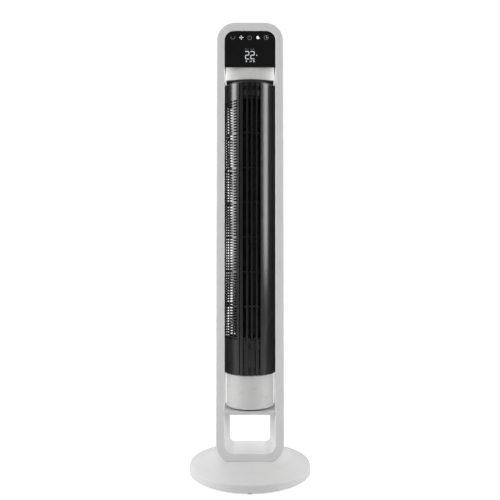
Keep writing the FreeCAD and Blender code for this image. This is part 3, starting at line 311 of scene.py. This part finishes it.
def touch_marks():
    """The row of five touch keys: swing, mode, power, night and timer."""
    arrows = [[(SWING_X + side * 5.9, ICON_Z + 0.4), (SWING_X + side * 3.1, ICON_Z + 0.4),
               (SWING_X + side * 4.6, ICON_Z + 3.0)] for side in (-1, 1)]
    sweep = stroke(circle_points(SWING_X, ICON_Z + 0.8, 4.5, 187, 353), ICON_LINE)
    mark("icon_swing", [sweep] + arrows, GLOW_DIM)

    mark("icon_mode", blades(MODE_X, ICON_Z, 4.9, 4, 2.0), GLOW_BRIGHT)

    ring = stroke(circle_points(POWER_X, ICON_Z - 0.4, 4.5, 122, 418), ICON_LINE)
    stem = stroke([(POWER_X, ICON_Z + 0.6), (POWER_X, ICON_Z + 5.0)], ICON_LINE)
    mark("icon_power", [ring, stem], GLOW_DIM)

    outside = circle_points(NIGHT_X, ICON_Z, 3.8, 55, 350)
    inside = circle_points(NIGHT_X + 3.6, ICON_Z + 1.9, 2.0, 290, 130)
    mark("icon_night", [outside + inside], GLOW_BRIGHT)

    dial = stroke(circle_points(TIMER_X, ICON_Z, 5.2, -40, 300), TIMER_LINE)
    hand = stroke([(TIMER_X, ICON_Z + 2.8), (TIMER_X, ICON_Z), (TIMER_X + 2.4, ICON_Z - 1.2)], TIMER_LINE)
    mark("icon_timer", [dial], GLOW_DIM)
    mark("icon_timer_hand", [hand], GLOW_DIGIT)


def digit_two(name, x0, x1):
    """A digit 2 with rounded bends between two sides."""
    left, right, middle = x0 + DIGIT_INSET, x1 - DIGIT_INSET, (DIGIT_Z0 + DIGIT_Z1) / 2
    corners = [(left, DIGIT_Z1), (right, DIGIT_Z1), (right, middle), (left, middle), (left, DIGIT_Z0),
               (right, DIGIT_Z0)]
    mark(name, [stroke(rounded_path(corners, DIGIT_BEND), DIGIT_LINE)], GLOW_DIGIT)


def display_marks():
    """The reading of 22 degrees, two dashed captions over it, and three small signs under it."""
    digit_two("digit_tens", -12.0, -1.7)
    digit_two("digit_units", 0.6, 11.4)
    mark("degree_dot", [circle_points(16.0, 1013.4, 1.3)[:-1]], GLOW_DIGIT)

    for name, x0 in (("label_left", -12.0), ("label_right", 1.6)):
        starts = [x0 + DASH_PITCH * k for k in range(3)]
        dashes = [stroke([(x, LABEL_Z), (x + DASH_LENGTH, LABEL_Z)], DASH_LINE) for x in starts]
        mark(name, dashes, GLOW_DIM)

    drop = circle_points(-8.6, 998.9, 1.5, -215, 35) + [(-8.6, 1002.0)]
    mark("humidity_drop", [drop], GLOW_DIGIT)
    bars = []
    for k in range(3):
        x = BAR_X + BAR_PITCH * k
        bars.append(stroke([(x, BAR_Z), (x, BAR_Z + 1.0 + BAR_RISE * k)], BAR_LINE))
    mark("speed_bars", bars, GLOW_DIGIT)
    mark("speed_wheel", blades(9.4, 999.3, 2.4, 3, 2.2), GLOW_DIGIT)


touch_marks()
display_marks()


# ---- stage --------------------------------------------------------------------

FLOOR_RADIUS, FLOOR_SEGMENTS = 9, 96
FLOOR_CLOUD, FLOOR_GLOW = 0.3, 0.8
FLOOR_PALE, FLOOR_PALER = (0.78, 0.78, 0.78), (0.80, 0.80, 0.80)
WHITE = (1, 1, 1, 1)
SKY_FRONT_Y, SKY_BACK_Y = -0.95, 0.3
SKY_FRONT_LIGHT, SKY_BACK_LIGHT, SKY_SEEN = 0.14, 0.50, 1.02
SENSOR_WIDTH, LENS = 36, 41.85
CAMERA_PLACE, CAMERA_TILT = (0, -1.447, 0.542), 90.22
RING = ("frame_front", "frame_rear")
COLUMN_MIDDLE, BASE_MIDDLE = (0, 0, 0.75), (0, 0, 0.1)


def node_with(tree, kind, **values):
    """A new shader node with some of its inputs set."""
    made = tree.nodes.new(kind)
    for socket, value in values.items():
        made.inputs[socket.replace("_", " ")].default_value = value
    return made


def floor():
    """Pale round floor that runs out of sight, and looks as pale as the sky to the camera."""
    mesh = bmesh.new()
    bmesh.ops.create_circle(mesh, cap_ends=True, segments=FLOOR_SEGMENTS, radius=FLOOR_RADIUS)
    data = bpy.data.meshes.new("studio_floor")
    mesh.to_mesh(data)
    mesh.free()
    made = bpy.data.objects.new("studio_floor", data)
    bpy.context.scene.collection.objects.link(made)
    finish, shader = new_material("pale_floor", Roughness=0.9)
    shader.inputs["Specular IOR Level"].default_value = 0.1
    cloud = spread(finish, noise(finish, FLOOR_CLOUD), 0, 1)
    pale = blended(finish, cloud, FLOOR_PALE, FLOOR_PALER)
    finish.node_tree.links.new(pale, shader.inputs["Base Color"])
    shader.inputs["Emission Color"].default_value = WHITE
    path = finish.node_tree.nodes.new("ShaderNodeLightPath")
    glow = node_with(finish.node_tree, "ShaderNodeMapRange", To_Min=0.0, To_Max=FLOOR_GLOW)
    finish.node_tree.links.new(path.outputs["Is Camera Ray"], glow.inputs["Value"])
    finish.node_tree.links.new(glow.outputs["Result"], shader.inputs["Emission Strength"])
    data.materials.append(finish)


def softbox(name, place, target, width, height, radiance, past=()):
    """Large rectangular lamp, out of the camera's sight, whose light the named nodes don't block."""
    lamp = bpy.data.lights.new(name, "AREA")
    lamp.shape = "RECTANGLE"
    lamp.size = width
    lamp.size_y = height
    lamp.energy = radiance * math.pi * width * height
    made = bpy.data.objects.new(name, lamp)
    made.location = place
    made.rotation_euler = (Vector(target) - Vector(place)).to_track_quat("-Z", "Y").to_euler()
    made.visible_camera = False
    bpy.context.scene.collection.objects.link(made)
    if past:
        blockers = bpy.data.collections.new(name + "_blockers")
        for k, node in enumerate(past):
            blockers.objects.link(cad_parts[node])
            blockers.collection_objects[k].light_linking.link_state = "EXCLUDE"
        made.light_linking.blocker_collection = blockers


def sky():
    """White surroundings for the eye; for light they are dim in front, where the dark studio is."""
    world = bpy.data.worlds.new("studio")
    bpy.context.scene.world = world
    world.use_nodes = True
    tree = world.node_tree
    tree.nodes.clear()
    point = tree.nodes.new("ShaderNodeTexCoord")
    split = tree.nodes.new("ShaderNodeSeparateXYZ")
    tree.links.new(point.outputs["Generated"], split.inputs["Vector"])
    ramp = node_with(tree, "ShaderNodeMapRange", From_Min=SKY_FRONT_Y, From_Max=SKY_BACK_Y,
                     To_Min=SKY_FRONT_LIGHT, To_Max=SKY_BACK_LIGHT)
    tree.links.new(split.outputs["Y"], ramp.inputs["Value"])
    dim = node_with(tree, "ShaderNodeBackground", Color=WHITE)
    tree.links.new(ramp.outputs["Result"], dim.inputs["Strength"])
    seen = node_with(tree, "ShaderNodeBackground", Color=WHITE, Strength=SKY_SEEN)
    path = tree.nodes.new("ShaderNodeLightPath")
    mix = tree.nodes.new("ShaderNodeMixShader")
    tree.links.new(path.outputs["Is Camera Ray"], mix.inputs["Fac"])
    tree.links.new(dim.outputs["Background"], mix.inputs[1])
    tree.links.new(seen.outputs["Background"], mix.inputs[2])
    out = tree.nodes.new("ShaderNodeOutputWorld")
    tree.links.new(mix.outputs["Shader"], out.inputs["Surface"])


def camera():
    """Level view from in front at half the fan's height."""
    lens = bpy.data.cameras.new("camera")
    lens.sensor_width = SENSOR_WIDTH
    lens.lens = LENS
    made = bpy.data.objects.new("camera", lens)
    made.location = CAMERA_PLACE
    made.rotation_euler = (math.radians(CAMERA_TILT), 0, 0)
    bpy.context.scene.collection.objects.link(made)
    bpy.context.scene.camera = made


def stage():
    """Floor, sky, three soft lamps and the camera."""
    floor()
    sky()
    softbox("left_softbox", (-2.2, -0.60, 1.25), COLUMN_MIDDLE, 0.9, 1.7, 10.0, RING)
    softbox("right_softbox", (2.2, -0.65, 1.20), COLUMN_MIDDLE, 0.9, 1.6, 8.4, RING)
    softbox("back_softbox", (0, 2.0, 2.9), BASE_MIDDLE, 2.6, 1.8, 1.7)
    bpy.context.scene.view_settings.view_transform = "Standard"
    camera()


stage()
